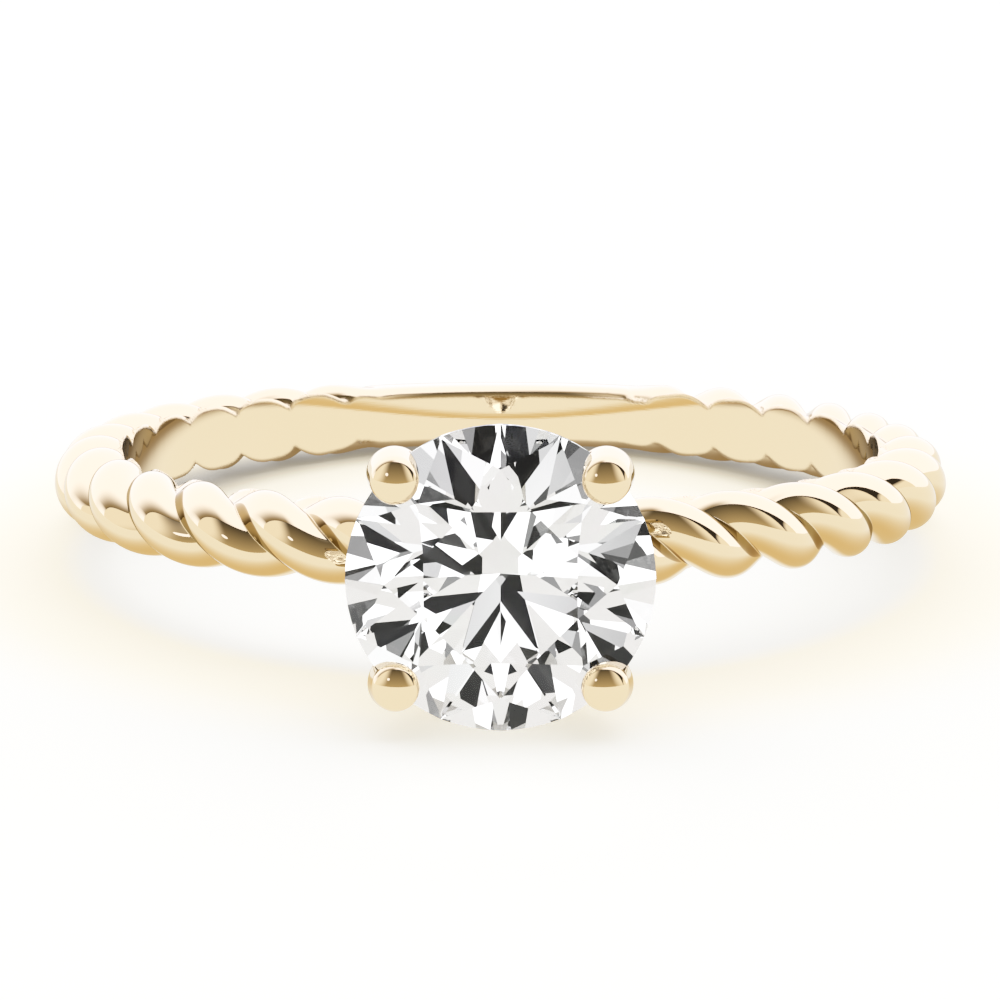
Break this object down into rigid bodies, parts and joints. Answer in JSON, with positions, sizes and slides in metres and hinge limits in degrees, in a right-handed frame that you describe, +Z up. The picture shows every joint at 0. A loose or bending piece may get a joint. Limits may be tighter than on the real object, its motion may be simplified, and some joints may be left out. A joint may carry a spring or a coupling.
{
  "type": "twisted shank ring",
  "caption": "Solitaire ring with a rope-twisted shank, a plain band at the back and a prong head holding a round brilliant.",
  "frame": {"origin": "on the floor, below the middle of the whole ring as it lies on its side on the stone's lower edge and the back of the shank", "axes": "+Z up, -Y the way that the stone looks, +X to the right as seen from in front of the stone; the axis of the finger hole leans 5.89 degrees from +Z toward +Y"},
  "size_m": [0.0202, 0.0238, 0.0061],
  "materials": {
    "gold": "mirror polished yellow gold",
    "stone": "polished facets"
  },
  "bodies": {
    "root": {"shank_and_head": "gold", "stone": "stone"}
  },
  "joints": []
}
